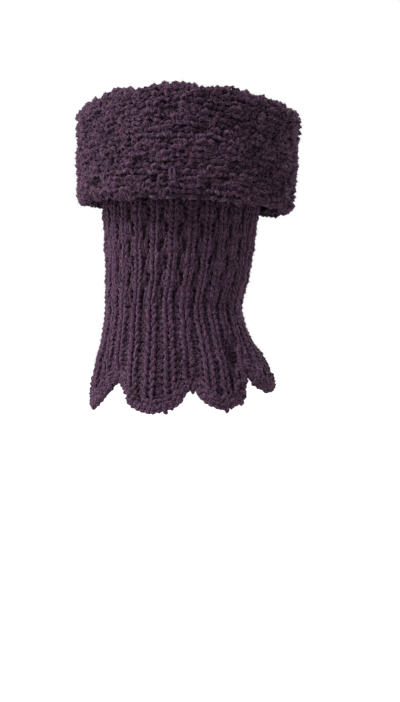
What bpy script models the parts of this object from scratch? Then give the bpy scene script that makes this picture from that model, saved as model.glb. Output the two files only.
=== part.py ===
"""A knitted boot cuff in the shape that it takes on a leg.

From the bottom up: a knobbly edging along the scallops, a ribbed ankle with a scalloped hem, a
patterned leg, and a deep turnover in two stretches, its fold and the wall that hangs from it.
Metres, +Z up the leg, shin towards -X, calf towards +X. The origin is the middle of the leg
opening at its narrowest, above the ankle. Angles run round the leg from its outer side (-Y),
towards the calf (+X).
"""

import math
from collections import namedtuple

import bmesh
import bpy
from mathutils import Euler, Vector

Section = namedtuple("Section", "height centre_x half_x half_y")
Scallop = namedtuple("Scallop", "start_angle tip_angle notch_height tip_height shoulder")
FacePoint = namedtuple("FacePoint", "outset height")
Fold = namedtuple("Fold", "angle bottom top depth width")
Yarn = namedtuple("Yarn", "name colour roughness")

KNIT_WALL = 0.0036
SEAM_GAP = 0.0003
SHARP_EDGE_DEGREES = 50.0

# The outer face of the leg tube from the scallop tips up to the turnover.
LEG_SECTIONS = (
    Section(-0.066, 0.0078, 0.0592, 0.0478),
    Section(-0.050, 0.0069, 0.0573, 0.0462),
    Section(-0.041, 0.0060, 0.0554, 0.0448),
    Section(-0.032, 0.0046, 0.0528, 0.0432),
    Section(-0.025, 0.0029, 0.0494, 0.0414),
    Section(-0.016, 0.0014, 0.0463, 0.0395),
    Section(-0.007, 0.0005, 0.0440, 0.0381),
    Section(0.001, 0.0002, 0.0430, 0.0375),
    Section(0.010, 0.0016, 0.0438, 0.0383),
    Section(0.020, 0.0029, 0.0454, 0.0397),
    Section(0.032, 0.0038, 0.0466, 0.0412),
    Section(0.046, 0.0045, 0.0476, 0.0428),
    Section(0.063, 0.0050, 0.0493, 0.0449),
    Section(0.085, 0.0074, 0.0525, 0.0486),
    Section(0.104, 0.0090, 0.0568, 0.0533),
)

# One row for each scallop of the hem. A scallop runs from its own start to the next one's, and it
# is lowest at its tip. The lower its shoulder value, the squarer its two ends.
SCALLOPS = (
    Scallop(-98.6, -75.0, -0.0475, -0.0625, 1.50),
    Scallop(-47.4, -19.5, -0.0480, -0.0655, 0.65),
    Scallop(5.0, 18.5, -0.0518, -0.0632, 0.72),
    Scallop(47.9, 58.5, -0.0432, -0.0528, 0.75),
    Scallop(90.0, 111.0, -0.0430, -0.0488, 0.80),
    Scallop(132.0, 153.0, -0.0412, -0.0505, 0.80),
    Scallop(176.0, 200.0, -0.0412, -0.0503, 0.80),
    Scallop(226.0, 245.0, -0.0400, -0.0500, 0.80),
)
SCALLOP_SQUARENESS = 3.0
COLUMNS_PER_SCALLOP = 10

# How far the hem swells at each scallop and pinches at each notch, and where that fades out.
HEM_WAVE = 0.0020
HEM_WAVE_TOP = -0.016
HEM_WAVE_FULL = -0.048

# The deep fold above the hem, and the ridge beside it, which has a depth below zero.
FOLDS = (
    Fold(40.5, -0.045, -0.017, 0.0032, 6.0),
    Fold(45.5, -0.060, -0.031, -0.0022, 6.0),
)
FOLD_FADE = 0.009

# The ribbing ends and the pattern starts at this height.
WAIST_HEIGHT = 0.0030
ANKLE_ROWS = 7
LEG_ROWS = 8

EDGING_HEIGHT = 0.0050
EDGING_THICKNESS = 0.0046
EDGING_CORNER = 0.0014

# The turnover stands on the middle of its lower edge and leans back towards the calf.
TURNOVER_FOOT = Vector((0.0074, 0.0, 0.0611))
TURNOVER_TILT = Euler((0.0, math.radians(2.6), 0.0))
TURNOVER_HALF_X = 0.0698
TURNOVER_HALF_Y = 0.0665
TURNOVER_HEIGHT = 0.0702
# How far the fold dips over the shin and over the calf.
SHIN_DIP = 0.0085
CALF_DIP = 0.0060
TURNOVER_WALL = 0.0070
TURNOVER_COLUMNS = 56
SHOULDER_RADIUS = 0.0080
INNER_SHOULDER_RADIUS = 0.0045
SEAM_HEIGHT = 0.0580
SEAM_OUTSET = -0.0086
# The crook under the fold starts with this small step out from the seam.
CROOK_STEP = 0.0006
CROOK_RISE = 0.0008
# The hanging wall ends and the fold starts at this height above the lower edge.
WALL_TOP = 0.0500
WALL_TOP_OUTSET = 0.0010
# The outer face of the hanging wall: how far it stands out at each height, from the top down.
WALL_FACE = (
    FacePoint(WALL_TOP_OUTSET, WALL_TOP - SEAM_GAP),
    FacePoint(0.0006, 0.0340),
    FacePoint(-0.0002, 0.0180),
)
LOWER_EDGE_OUTSET = -0.0015
ARC_STEPS = 4

ANKLE_YARN = Yarn("plum_rib_yarn", (0.040, 0.021, 0.038), 0.92)
LEG_YARN = Yarn("plum_pattern_yarn", (0.038, 0.020, 0.036), 0.92)
FOLD_YARN = Yarn("plum_fold_yarn", (0.045, 0.023, 0.043), 0.92)
WALL_YARN = Yarn("plum_basket_yarn", (0.043, 0.022, 0.041), 0.92)
EDGING_YARN = Yarn("plum_edging_yarn", (0.052, 0.028, 0.049), 0.92)


def clear_scene():
    for thing in list(bpy.data.objects):
        bpy.data.objects.remove(thing, do_unlink=True)


def yarn_material(yarn):
    material = bpy.data.materials.new(yarn.name)
    material.use_nodes = True
    shader = material.node_tree.nodes["Principled BSDF"]
    shader.inputs["Base Color"].default_value = (*yarn.colour, 1.0)
    shader.inputs["Roughness"].default_value = yarn.roughness
    shader.inputs["Metallic"].default_value = 0.0
    return material


def smoothstep(value):
    value = min(max(value, 0.0), 1.0)
    return value * value * (3.0 - 2.0 * value)


def fold_dip(height, angle):
    dip = SHIN_DIP if math.sin(angle) < 0.0 else CALF_DIP
    return dip * height / TURNOVER_HEIGHT * math.sin(angle) ** 2


def turnover_point(outset, height, angle):
    """A point of the turnover, by its outset from the widest ring and its height on the piece."""
    ring = Vector((
        (TURNOVER_HALF_X + outset) * math.sin(angle),
        -(TURNOVER_HALF_Y + outset) * math.cos(angle),
        height - fold_dip(height, angle),
    ))
    ring.rotate(TURNOVER_TILT)
    return TURNOVER_FOOT + ring


def seam_centre():
    """The middle of the leg tube's top edge, which the turnover's fold is knitted on to."""
    rise = Vector((0.0, 0.0, SEAM_HEIGHT - SEAM_GAP))
    rise.rotate(TURNOVER_TILT)
    return TURNOVER_FOOT + rise


SEAM_CENTRE = seam_centre()
SEAM_SECTION = Section(
    SEAM_CENTRE.z, SEAM_CENTRE.x, TURNOVER_HALF_X + SEAM_OUTSET, TURNOVER_HALF_Y + SEAM_OUTSET
)


def section_slope(rows, index, column):
    before = rows[max(index - 1, 0)]
    after = rows[min(index + 1, len(rows) - 1)]
    return (after[column] - before[column]) / (after.height - before.height)


def section_at(height):
    """The leg tube's section at any height, on a smooth curve through the table's rows."""
    rows = LEG_SECTIONS + (SEAM_SECTION,)
    index = 0
    while index < len(rows) - 2 and rows[index + 1].height < height:
        index += 1
    low, high = rows[index], rows[index + 1]
    span = high.height - low.height
    t = (height - low.height) / span
    values = [height]
    for column in range(1, len(low)):
        start = section_slope(rows, index, column) * span
        end = section_slope(rows, index + 1, column) * span
        values.append(
            low[column] * (2.0 * t**3 - 3.0 * t**2 + 1.0)
            + start * (t**3 - 2.0 * t**2 + t)
            + high[column] * (3.0 * t**2 - 2.0 * t**3)
            + end * (t**3 - t**2)
        )
    return Section(*values)


def scallop_span(index):
    """The start and end angles of a scallop in degrees, and the height of the notch at each."""
    here = SCALLOPS[index]
    after = SCALLOPS[(index + 1) % len(SCALLOPS)]
    turn = 360.0 if index == len(SCALLOPS) - 1 else 0.0
    return here.start_angle, after.start_angle + turn, here.notch_height, after.notch_height


def hem_columns():
    """The columns round the hem, as (angle, place across the scallop from -1 to 1, hem height)."""
    columns = []
    for index, scallop in enumerate(SCALLOPS):
        start, end, start_notch, end_notch = scallop_span(index)
        for step in range(COLUMNS_PER_SCALLOP):
            across = 2.0 * step / COLUMNS_PER_SCALLOP - 1.0
            side = start if across < 0.0 else end
            angle = scallop.tip_angle + (side - scallop.tip_angle) * abs(across)
            notch = start_notch + (end_notch - start_notch) * (angle - start) / (end - start)
            fullness = (1.0 - abs(across) ** SCALLOP_SQUARENESS) ** scallop.shoulder
            height = notch + (scallop.tip_height - notch) * fullness
            columns.append((math.radians(angle), across, height))
    return columns


def hem_wave(across, height):
    """The hem swells outwards along each scallop and pinches in at the notches between them."""
    strength = smoothstep((HEM_WAVE_TOP - height) / (HEM_WAVE_TOP - HEM_WAVE_FULL))
    return HEM_WAVE * strength * math.cos(math.pi * across)


def fold_depth(angle, height):
    """How far the folds draw the cloth in. Widths are in degrees, and each fold fades at its ends."""
    depth = 0.0
    for fold in FOLDS:
        away = (math.degrees(angle) - fold.angle + 180.0) % 360.0 - 180.0
        ends = smoothstep((height - fold.bottom) / FOLD_FADE)
        ends *= smoothstep((fold.top - height) / FOLD_FADE)
        depth += fold.depth * ends * math.exp(-((away / fold.width) ** 2))
    return depth


def leg_point(angle, across, height, inset):
    """A point of the leg tube, by its depth under the tube's outer face."""
    section = section_at(height)
    tilt_share = smoothstep(height / SEAM_CENTRE.z)
    outset = hem_wave(across, height) - fold_depth(angle, height) - inset
    ring = Vector((
        (section.half_x + outset) * math.sin(angle),
        -(section.half_y + outset) * math.cos(angle),
        0.0,
    ))
    ring.rotate(Euler((0.0, TURNOVER_TILT.y * tilt_share, 0.0)))
    return Vector((section.centre_x, 0.0, height)) + ring


def ring_solid(name, rings, yarn):
    """One closed piece of knitting: each ring joins the next, and the last joins the first."""
    mesh = bpy.data.meshes.new(name)
    shape = bmesh.new()
    loops = [[shape.verts.new(point) for point in ring] for ring in rings]
    around = len(rings[0])
    for index, loop in enumerate(loops):
        after = loops[(index + 1) % len(loops)]
        for step in range(around):
            right = (step + 1) % around
            shape.faces.new((loop[step], loop[right], after[right], after[step]))
    bmesh.ops.recalc_face_normals(shape, faces=shape.faces)
    shape.to_mesh(mesh)
    shape.free()
    mesh.shade_smooth()
    mesh.set_sharp_from_angle(angle=math.radians(SHARP_EDGE_DEGREES))
    mesh.materials.append(yarn_material(yarn))
    piece = bpy.data.objects.new(name, mesh)
    bpy.context.scene.collection.objects.link(piece)
    return piece


def build_tube(name, rows, bottoms, tops, yarn):
    """A stretch of the leg between two edges, each given as a height for every hem column."""
    outer, inner = [], []
    for row in range(rows + 1):
        share = row / rows
        outer_ring, inner_ring = [], []
        for (angle, across, _), bottom, top in zip(hem_columns(), bottoms, tops):
            height = bottom + (top - bottom) * share
            outer_ring.append(leg_point(angle, across, height, 0.0))
            inner_ring.append(leg_point(angle, across, height, KNIT_WALL))
        outer.append(outer_ring)
        inner.append(inner_ring)
    return ring_solid(name, outer + inner[::-1], yarn)


def build_ribbed_ankle():
    hems = [hem + EDGING_HEIGHT + SEAM_GAP for _, _, hem in hem_columns()]
    waists = [WAIST_HEIGHT - SEAM_GAP] * len(hems)
    return build_tube("ribbed_ankle", ANKLE_ROWS, hems, waists, ANKLE_YARN)


def build_patterned_leg():
    tops = [SEAM_CENTRE.z - fold_dip(SEAM_HEIGHT, angle) for angle, _, _ in hem_columns()]
    waists = [WAIST_HEIGHT] * len(tops)
    return build_tube("patterned_leg", LEG_ROWS, waists, tops, LEG_YARN)


def edging_outline():
    """The edging's section with its corners cut off, as (depth under the tube's face, height)."""
    outside = -(EDGING_THICKNESS - KNIT_WALL) / 2.0
    inside = outside + EDGING_THICKNESS
    return (
        (outside, EDGING_CORNER),
        (outside, EDGING_HEIGHT - EDGING_CORNER),
        (outside + EDGING_CORNER, EDGING_HEIGHT),
        (inside - EDGING_CORNER, EDGING_HEIGHT),
        (inside, EDGING_HEIGHT - EDGING_CORNER),
        (inside, EDGING_CORNER),
        (inside - EDGING_CORNER, 0.0),
        (outside + EDGING_CORNER, 0.0),
    )


def build_scallop_edging():
    columns = hem_columns()
    rings = []
    for inset, rise in edging_outline():
        rings.append([leg_point(angle, across, hem + rise, inset) for angle, across, hem in columns])
    return ring_solid("scallop_edging", rings, EDGING_YARN)


def arc(outset, height, radius, start, end):
    """Points along an arc of the turnover's profile, both ends included; angles in degrees."""
    points = []
    for step in range(ARC_STEPS + 1):
        turn = math.radians(start + (end - start) * step / ARC_STEPS)
        points.append(FacePoint(outset + radius * math.cos(turn), height + radius * math.sin(turn)))
    return points


def fold_profile():
    """The fold in section: up the inner layer, over the top, down the shoulder, into the crook."""
    top_outset = WALL_TOP_OUTSET - SHOULDER_RADIUS
    inner_arc_height = TURNOVER_HEIGHT - INNER_SHOULDER_RADIUS
    outer_arc_height = TURNOVER_HEIGHT - SHOULDER_RADIUS
    points = [FacePoint(SEAM_OUTSET - KNIT_WALL, SEAM_HEIGHT)]
    points += arc(top_outset, inner_arc_height, INNER_SHOULDER_RADIUS, 180.0, 90.0)
    points += arc(top_outset, outer_arc_height, SHOULDER_RADIUS, 90.0, 0.0)[1:]
    points.append(FacePoint(WALL_TOP_OUTSET, WALL_TOP))
    points.append(FacePoint(WALL_TOP_OUTSET - TURNOVER_WALL, WALL_TOP))
    points.append(FacePoint(SEAM_OUTSET + 2.0 * CROOK_STEP, SEAM_HEIGHT))
    points.append(FacePoint(SEAM_OUTSET + CROOK_STEP, SEAM_HEIGHT + CROOK_RISE))
    points.append(FacePoint(SEAM_OUTSET, SEAM_HEIGHT))
    return points


def wall_profile():
    """The hanging wall in section: down the outer face, round the lower edge, up the inner face."""
    edge_radius = TURNOVER_WALL / 2.0
    points = list(WALL_FACE)
    points += arc(LOWER_EDGE_OUTSET - edge_radius, edge_radius, edge_radius, 0.0, -180.0)
    for face in reversed(WALL_FACE):
        points.append(FacePoint(face.outset - TURNOVER_WALL, face.height))
    return points


def build_turnover(name, profile, yarn):
    rings = []
    for point in profile:
        ring = []
        for step in range(TURNOVER_COLUMNS):
            angle = 2.0 * math.pi * step / TURNOVER_COLUMNS
            ring.append(turnover_point(point.outset, point.height, angle))
        rings.append(ring)
    return ring_solid(name, rings, yarn)


clear_scene()
build_scallop_edging()
build_ribbed_ankle()
build_patterned_leg()
build_turnover("turnover_fold", fold_profile(), FOLD_YARN)
build_turnover("turnover_wall", wall_profile(), WALL_YARN)
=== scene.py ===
"""A knitted boot cuff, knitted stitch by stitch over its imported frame.

A ribbed ankle with a scalloped hem, a leg of fanned stitches between the ribs, a deep turnover in
basket stitch and a knobbly edging. Each course of the knitting is one closed ring of yarn.
Metres, +Z up the leg, shin towards -X, calf towards +X. Turns run round the leg from its outer
side (-Y) towards the calf (+X).
"""

import math
from collections import namedtuple

import bpy
import numpy as np
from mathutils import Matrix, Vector
from mathutils.bvhtree import BVHTree


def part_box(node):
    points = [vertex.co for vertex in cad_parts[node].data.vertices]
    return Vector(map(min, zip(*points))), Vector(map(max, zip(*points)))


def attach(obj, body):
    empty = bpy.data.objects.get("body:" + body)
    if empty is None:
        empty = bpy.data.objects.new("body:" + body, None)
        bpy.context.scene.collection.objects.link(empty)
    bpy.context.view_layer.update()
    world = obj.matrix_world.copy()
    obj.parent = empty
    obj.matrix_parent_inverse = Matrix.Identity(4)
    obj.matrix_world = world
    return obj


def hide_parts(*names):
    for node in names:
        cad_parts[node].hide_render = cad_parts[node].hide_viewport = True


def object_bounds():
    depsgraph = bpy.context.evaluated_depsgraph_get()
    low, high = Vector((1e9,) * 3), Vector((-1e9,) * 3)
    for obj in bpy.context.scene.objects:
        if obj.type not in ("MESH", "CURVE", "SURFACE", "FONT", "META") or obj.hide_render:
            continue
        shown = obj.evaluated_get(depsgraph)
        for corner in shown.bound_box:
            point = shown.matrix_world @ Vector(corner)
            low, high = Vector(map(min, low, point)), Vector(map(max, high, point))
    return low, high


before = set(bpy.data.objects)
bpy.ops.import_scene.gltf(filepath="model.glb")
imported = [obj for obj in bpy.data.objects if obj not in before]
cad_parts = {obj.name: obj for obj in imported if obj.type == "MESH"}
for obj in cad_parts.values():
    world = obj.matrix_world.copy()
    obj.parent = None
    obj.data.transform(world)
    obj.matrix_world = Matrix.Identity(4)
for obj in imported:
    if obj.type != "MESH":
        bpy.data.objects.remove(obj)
CAD_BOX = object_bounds()

bl_info = {
    "name": "Knitted Boot Cuff",
    "version": (1, 0, 0),
    "blender": (4, 5, 0),
    "location": "3D View > Sidebar > Boot Cuff",
    "description": "Knits a boot cuff, course by course, over its packed frame",
    "category": "Add Mesh",
}

TAU = 2.0 * math.pi

# ---------------------------------------------------------------- the leg's values

# The hem's scallops. Each runs from its own notch to the next one's, and hangs down to its tip.
# The rib that ends at a notch stands at the waist angle higher up. The lower a scallop's shoulder
# value, the squarer its two ends. The angles are in degrees.
Scallop = namedtuple(
    "Scallop", "start_angle tip_angle waist_angle notch_height tip_height shoulder"
)
SCALLOPS = (
    Scallop(-98.6, -75.0, -97.5, -0.0462, -0.0612, 1.15),
    Scallop(-47.4, -19.5, -46.0, -0.0484, -0.0645, 0.68),
    Scallop(5.0, 19.5, 9.5, -0.0522, -0.0622, 0.62),
    Scallop(47.9, 59.5, 58.0, -0.0432, -0.0524, 0.68),
    Scallop(90.0, 111.0, 98.0, -0.0416, -0.0480, 0.80),
    Scallop(132.0, 153.0, 139.0, -0.0405, -0.0505, 0.80),
    Scallop(176.0, 200.0, 180.0, -0.0405, -0.0503, 0.80),
    Scallop(226.0, 245.0, 222.0, -0.0392, -0.0500, 0.80),
)
SCALLOP_SQUARENESS = 3.0
# Each notch has a flat top, this share of the scallop's half width on each side of it.
NOTCH_FLAT = 0.14
# Each scallop ends in a small nib. Its length is a share of the scallop's own, and its reach to
# each side is a share of the half width.
NIB_LENGTH = 0.11
NIB_REACH = 0.26
# The cloth is a little fuller beside each notch, at this share of the scallop's half width.
CHEEK_PLACE = 0.80
CHEEK_WIDTH = 0.13
CHEEK_FULLNESS = 0.0008
CHEEK_TOP = -0.032
CHEEK_FADE = 0.010

# Soft troughs (and, below zero, ridges) in the leg, from a bottom height up to a top one. Their
# angles and widths are in degrees.
Crease = namedtuple("Crease", "angle bottom top depth width")
CREASES = (
    Crease(-98.6, -0.060, -0.030, 0.0016, 3.5),
    Crease(-47.4, -0.060, -0.030, 0.0021, 3.5),
    Crease(5.0, -0.060, -0.028, 0.0022, 3.0),
    Crease(47.9, -0.060, -0.033, 0.0026, 3.0),
    Crease(41.5, -0.043, -0.018, 0.0044, 4.5),
    Crease(45.5, -0.060, -0.031, -0.0014, 5.0),
    Crease(78.0, -0.058, -0.020, -0.0018, 9.0),
    Crease(90.0, -0.060, -0.026, 0.0018, 4.0),
    Crease(113.0, -0.050, -0.024, 0.0016, 4.5),
    Crease(132.0, -0.060, -0.031, 0.0019, 3.5),
    Crease(176.0, -0.060, -0.029, 0.0017, 3.5),
    Crease(226.0, -0.060, -0.027, 0.0019, 3.5),
    Crease(243.0, -0.048, -0.020, 0.0015, 5.0),
    Crease(-70.0, 0.020, 0.052, 0.0010, 7.0),
    Crease(22.0, 0.008, 0.036, 0.0010, 8.0),
    Crease(78.0, -0.002, 0.030, 0.0012, 7.0),
    Crease(175.0, 0.012, 0.044, 0.0011, 8.0),
)
CREASE_BOTTOM_FADE = 0.008
CREASE_TOP_FADE = 0.010

# The leg's courses, counted up from the hem. The first one follows the scallops, and its height
# is the one that it would have on a straight hem. Higher up, the columns stand straight above
# where they start to lean, and the courses lie level above where they start to bend.
FIRST_COURSE = -0.0500
COURSE_RISE = 0.0033
FIRST_FANNED = 16
FIRST_INNER = 35
LEG_COURSES = 51
COLUMNS_LEAN_FROM = -0.0100
COLUMNS_LEAN_TO = -0.0480
COURSES_BEND_FROM = -0.0150
EDGING_HEIGHT = 0.0050

RIBS_PER_SCALLOP = 4
RIBS = RIBS_PER_SCALLOP * len(SCALLOPS)
LOOP_HEIGHT = 0.0028
# How much of a rib its knit column takes up, in each stretch of the leg.
ANKLE_KNIT_SHARE = 0.70
FANNED_KNIT_SHARE = 0.54
INNER_KNIT_SHARE = 0.55
KNIT_RELIEF = 0.0009
PURL_RELIEF = -0.0011

# Each fan is three courses high. Leans are shares of a rib, and reliefs are heights.
FAN_LEANS = (0.18, 0.26, 0.32)
FAN_RELIEFS = (-0.0007, 0.0001, -0.0001)
FANNED_COLUMN_RELIEF = 0.0010
LONE_COLUMN_RELIEF = 0.0008
FAN_PIT = 0.0011

# ---------------------------------------------------------------- the turnover's values

TURNOVER_STITCHES = 104
TURNOVER_COURSE_RISE = 0.0036
TURNOVER_FIRST_COURSE = 0.0020
TURNOVER_TOP_SPARE = 0.0010
WALL_COURSES = 17
BLOCK_STITCHES = 3
BLOCK_COURSES = 3
KNOT_STITCHES = 2
BLOCK_PURL_RELIEF = 0.0005
BLOCK_KNIT_RELIEF = -0.0004
BLOCK_KNIT_SIDE = 0.8
# How unevenly the blocks, the stitches and the knots of two stitches stand out.
BLOCK_SPREAD = 0.0002
STITCH_SPREAD = 0.0006
KNOT_SPREAD = 0.0007
RELIEF_LIMITS = (-0.0020, 0.0015)
TURNED_STITCHES = 0.04
LEAN_SPREAD = 0.22
RISE_SPREAD = 0.0005
SIZE_SPREAD = 0.12

# ---------------------------------------------------------------- the edging's values

EDGING_STITCHES = 112
EDGING_LOOP_HEIGHT = 0.0022
EDGING_RELIEF = 0.0004
GARTER_RISES = (0.0034, 0.0056)
# Yarn coiled over the edge. About one coil in three is a large one.
PICOT_COILS = 112
PICOT_POINTS = 14
PICOT_SIDES = 7
PICOT_YARN_RADIUS = 0.00115
PICOT_LUMPS = 0.16
PICOT_TWISTS = 240
LARGE_PICOT = 0.0034
SMALL_PICOT = 0.0014
LARGE_PICOT_SHARE = 0.34
PICOT_SIZE_SPREAD = 0.15
PICOT_NUDGE = 0.25
PICOT_RISE = 0.0030
PICOT_DEPTH = -0.0020
PICOT_SWING = 0.0013

# ---------------------------------------------------------------- the yarns

# A stretch's yarn: its radius, how far each loop bows back and forth, how uneven the loops are,
# how much the cloth sways, and how far behind the form the yarn's middle lies. Then the points
# along each stitch, the sides and lumps of the yarn's section, the twists in each course, and how
# light the deepest yarn still is under the shade painted into its colour by depth.
Yarn = namedtuple(
    "Yarn", "radius loop_depth unevenness sway inset points sides lumps twists shade"
)
RIB_YARN = Yarn(0.00118, 0.00095, 0.14, 0.00015, 0.0027, 12, 6, 0.09, 150, 0.60)
FAN_YARN = Yarn(0.00115, 0.00100, 0.17, 0.00020, 0.0021, 12, 6, 0.09, 150, 0.56)
INNER_YARN = Yarn(0.00118, 0.00115, 0.16, 0.00015, 0.0030, 10, 6, 0.12, 150, 0.25)
BASKET_YARN = Yarn(0.00120, 0.00110, 0.24, 0.00040, 0.0, 10, 5, 0.20, 230, 0.10)
GARTER_YARN = Yarn(0.00118, 0.00110, 0.20, 0.00010, 0.0020, 12, 6, 0.12, 200, 0.80)
# The same for the picots and the webs: how light their deepest yarn is left by the painted shade.
PLAIN_PAINTED_SHADE = 0.48
# A ring of yarn that sets off more steeply than this takes its first side from the X axis.
STEEP = 0.8

# The loop's own shape: how far its legs bow out, how much of each stitch goes over to the next
# one's values, and how far a pit between two stitches reaches into each.
LOOP_BOW = 0.20
STITCH_JOIN = 0.24
PIT_REACH = 0.24
# How much of the unevenness goes to each thing that wanders from loop to loop.
SLIP_SHARE = 0.5
STRETCH_SHARE = 0.7
SLUB_SHARE = 0.5
HILL_WAVES = (2, 3, 5, 8, 12, 17)
HILL_SLOPE = 0.35
HILL_HEIGHT = 0.5
# The painted light is 0 on the deepest yarn, where the painted shade is darkest, and 1 on the most
# raised, this far past a loop's own depth.
PAINTED_LIGHT_REACH = 0.0010

# Thin webs behind the loops.
WEB_THICKNESS = 0.0007
WEB_TWISTS = 300
LEG_WEB_ROWS = 40
LEG_WEB_COLUMNS_PER_RIB = 6
LEG_WEB_DEPTH = -0.0036
LEG_WEB_RIDGE = 0.0009
LEG_WEB_BELOW = 0.003
LEG_WEB_COURSES = LEG_COURSES - 0.6
# How light the leg's web is left by the shade painted into its colour.
LEG_WEB_PAINTED_LIGHT = 0.60
TURNOVER_WEB_ROWS = 30
TURNOVER_WEB_START = 0.0005
TURNOVER_WEB_DEPTH = -0.0008
# The same painted shade on the turnover's web, much darker.
TURNOVER_WEB_PAINTED_LIGHT = 0.15

# Loose hairs, on yarn that faces away from the leg's middle line or is up on the fold.
SHORTEST_HAIR = 0.0008
HAIR_RADIUS = 0.000085
HAIR_LEAN = 0.9
HAIR_LEAST_RISE = 0.15
HAIRY_MIDDLE = (0.0055, 0.0)
HAIRY_OUTWARDS = 0.35
HAIRY_UPWARDS = 0.6
HAIRY_FOLD_ABOVE = 0.11
HAIRY_PIECES = (
    "ribbed_ankle_knit", "fanned_leg_knit", "turnover_wall_knit", "turnover_fold_knit",
    "edging_garter_knit", "edging_picot_coils",
)

# The wool's mottling: how many features there are in a metre, how detailed they are, the noise
# values between which its colour comes in, and how much of that colour there is then.
Mottling = namedtuple("Mottling", "features detail low high share")
ROSE_SPECKS = Mottling(640.0, 2.0, 0.52, 0.70, 0.55)
PALE_HAIRS = Mottling(1700.0, 2.0, 0.53, 0.68, 0.85)
RUSSET_PATCHES = Mottling(70.0, 2.0, 0.55, 0.75, 0.35)
PALE_FUZZ = Mottling(300.0, 2.0, 0.42, 0.62, 1.0)
# Tufts and fibres also shape the surface. These are their features in a metre and their detail.
TUFTS = (420.0, 3.0)
FIBRES = (2600.0, 3.0)
TUFT_EDGES = (0.36, 0.60)
NOISE_ROUGHNESS = 0.6
# The wool's plies, the shade painted down between them, and how its surface stands up.
PLIES = 3
PLY_EDGES = (0.0, 0.55)
PLY_PAINTED_SHADE = 0.62
PLY_PAINTED_LIGHT = 0.36
PLY_ROUNDNESS = 0.7
PLY_RELIEF = 0.75
FIBRE_RELIEF = 0.5
TUFT_RELIEF = 0.3
BUMP_STRENGTH = 0.75
BUMP_DEPTH = 0.00045
WOOL_ROUGHNESS = 0.82
TUFT_ROUGHNESS = 0.14

# ---------------------------------------------------------------- the stage's values

BACKDROP_LIGHT = 0.43
FLOOR_HEIGHT = -0.245
FLOOR_SIZE = 40.0
CAMERA_PLACE = (0.0170, -1.05, -0.0277)
CAMERA_LENS = 85.47
CAMERA_SENSOR = 36.0
Lamp = namedtuple("Lamp", "name place size power")
LAMPS = (
    Lamp("key_light", (-0.82, -0.70, 1.04), 0.6, 28.0),
    Lamp("side_light", (-1.1, -0.1, 0.1), 0.6, 7.0),
    Lamp("back_light", (0.45, 1.20, 0.50), 0.9, 26.0),
    Lamp("fill_light", (1.25, -0.10, 0.30), 0.8, 4.5),
)


def smoothstep(value):
    value = np.clip(value, 0.0, 1.0)
    return value * value * (3.0 - 2.0 * value)


def unit(vectors):
    return vectors / np.maximum(np.linalg.norm(vectors, axis=-1, keepdims=True), 1e-12)


def dot(left, right):
    return (left * right).sum(axis=-1, keepdims=True)


# ---------------------------------------------------------------- the hem's scallops


def closed_turns(angles):
    """Degrees as turns in radians, with the first one again at the end, a whole turn on."""
    turns = np.radians(angles)
    return np.append(turns, turns[0] + TAU)


NOTCH_TURNS = closed_turns([scallop.start_angle for scallop in SCALLOPS])
WAIST_TURNS = closed_turns([scallop.waist_angle for scallop in SCALLOPS])
TIP_TURNS = np.radians([scallop.tip_angle for scallop in SCALLOPS])
NOTCH_HEIGHTS = np.array([scallop.notch_height for scallop in SCALLOPS + SCALLOPS[:1]])
TIP_HEIGHTS = np.array([scallop.tip_height for scallop in SCALLOPS])
SHOULDERS = np.array([scallop.shoulder for scallop in SCALLOPS])


def column_turn(column, hem_share):
    """Where a column of stitches stands, between its place at the waist and that at the hem.

    Columns are counted in scallops, from the first notch.
    """
    whole = np.floor(column / len(SCALLOPS)) * len(SCALLOPS)
    marks = np.arange(len(SCALLOPS) + 1)
    waist = np.interp(column - whole, marks, WAIST_TURNS)
    hem = np.interp(column - whole, marks, NOTCH_TURNS)
    return waist + (hem - waist) * hem_share + whole / len(SCALLOPS) * TAU


def hem_edge(turn):
    """The height of the finished edge at a turn, and the place across its scallop.

    The place is -1 and 1 at the scallop's notches, and 0 at its tip.
    """
    wrapped = (turn - NOTCH_TURNS[0]) % TAU + NOTCH_TURNS[0]
    index = np.searchsorted(NOTCH_TURNS, wrapped, side="right") - 1
    index = np.clip(index, 0, len(SCALLOPS) - 1)
    start, end = NOTCH_TURNS[index], NOTCH_TURNS[index + 1]
    beside = wrapped - TIP_TURNS[index]
    across = beside / np.abs(np.where(beside < 0.0, start, end) - TIP_TURNS[index])
    rise = NOTCH_HEIGHTS[index + 1] - NOTCH_HEIGHTS[index]
    notch = NOTCH_HEIGHTS[index] + rise * ((wrapped - start) / (end - start))
    near_notch = np.clip(np.abs(across) / (1.0 - NOTCH_FLAT), 0.0, 1.0)
    fullness = (1.0 - near_notch ** SCALLOP_SQUARENESS) ** SHOULDERS[index]
    nib = NIB_LENGTH * np.exp(-((across / NIB_REACH) ** 2))
    return notch + (TIP_HEIGHTS[index] - notch) * (fullness + nib), across


# ---------------------------------------------------------------- the forms


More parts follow.
